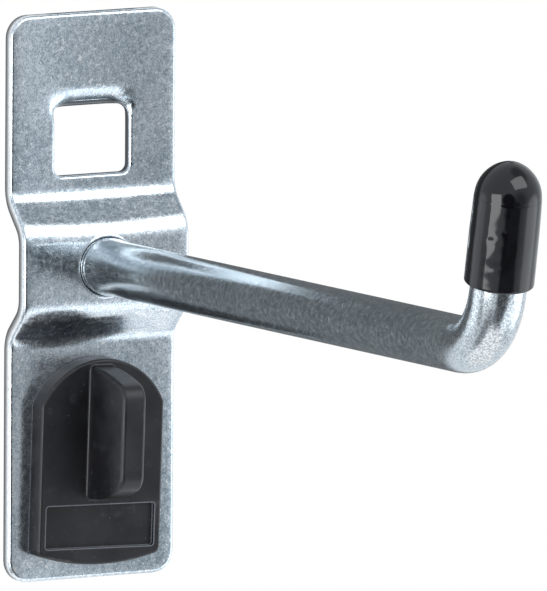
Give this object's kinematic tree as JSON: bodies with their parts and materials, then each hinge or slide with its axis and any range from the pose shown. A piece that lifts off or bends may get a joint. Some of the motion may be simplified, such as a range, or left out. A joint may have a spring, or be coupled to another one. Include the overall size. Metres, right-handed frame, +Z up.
{
  "type": "pegboard hook",
  "caption": "Steel tool hook for a square-perforated panel: joggled plate with hooked tongue, upturned round rod with end cap, and a locking clip.",
  "frame": {"origin": "where the rod's axis meets the plane of the plate's back face", "axes": "+Y into the panel, against the way the arm reaches; +X across the plate; +Z up"},
  "size_m": [0.02, 0.1038, 0.0617],
  "materials": {
    "plate_steel": "zinc plated sheet, satin with a fine grain",
    "rod_steel": "zinc plated round rod, satin",
    "cap_vinyl": "dipped vinyl, glossy black",
    "clip_plastic": "moulded black plastic, semi-matte"
  },
  "bodies": {
    "root": {"hook_plate": "plate_steel", "hook_rod": "rod_steel", "end_cap": "cap_vinyl", "locking_clip": "clip_plastic"}
  },
  "joints": []
}
